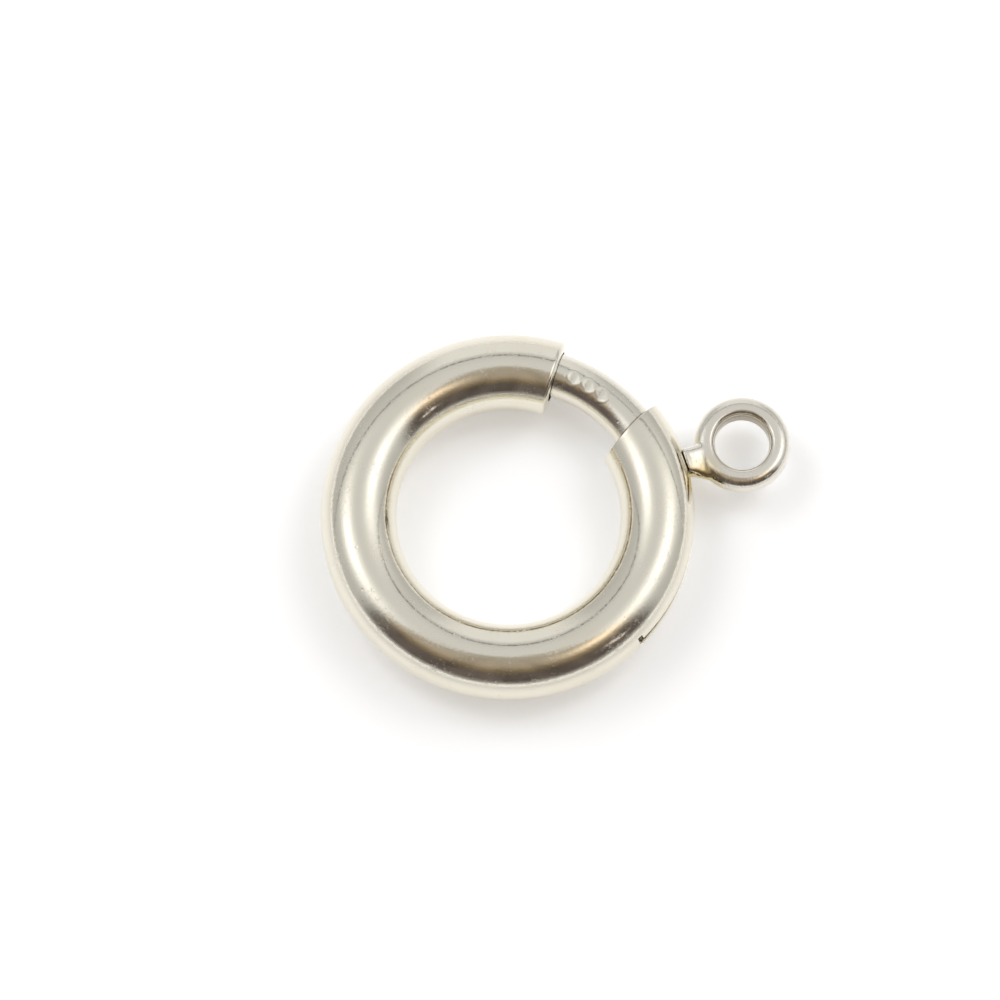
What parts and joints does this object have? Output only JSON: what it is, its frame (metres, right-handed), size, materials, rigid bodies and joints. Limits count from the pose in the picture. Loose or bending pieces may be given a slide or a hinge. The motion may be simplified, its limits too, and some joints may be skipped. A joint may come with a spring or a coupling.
{
  "type": "spring ring clasp",
  "caption": "Jewellery clasp: a hollow ring whose gap is closed by a sprung curved bolt, drawn back by the pull eye on its neck.",
  "frame": {"origin": "centre of the ring, halfway up its thickness", "axes": "+Z along the ring's axis, +X from the ring's centre to the middle of the pull eye"},
  "size_m": [0.0205, 0.016, 0.0032],
  "materials": {
    "ring_silver": "polished",
    "bolt_silver": "polished",
    "spring_steel": "drawn wire"
  },
  "bodies": {
    "ring": {"ring_tube": "ring_silver", "coil_spring": "spring_steel"},
    "bolt": {"bolt_and_eye": "bolt_silver"}
  },
  "joints": [
    {"name": "bolt_travel", "type": "hinge", "parent": "ring", "child": "bolt", "pos_m": [0, 0, 0], "axis": [0, 0, 1], "range_deg": [-56, 0], "stiffness_Nm_per_rad": 0.006, "springref_deg": 28.65, "deforming": ["coil_spring"]}
  ]
}
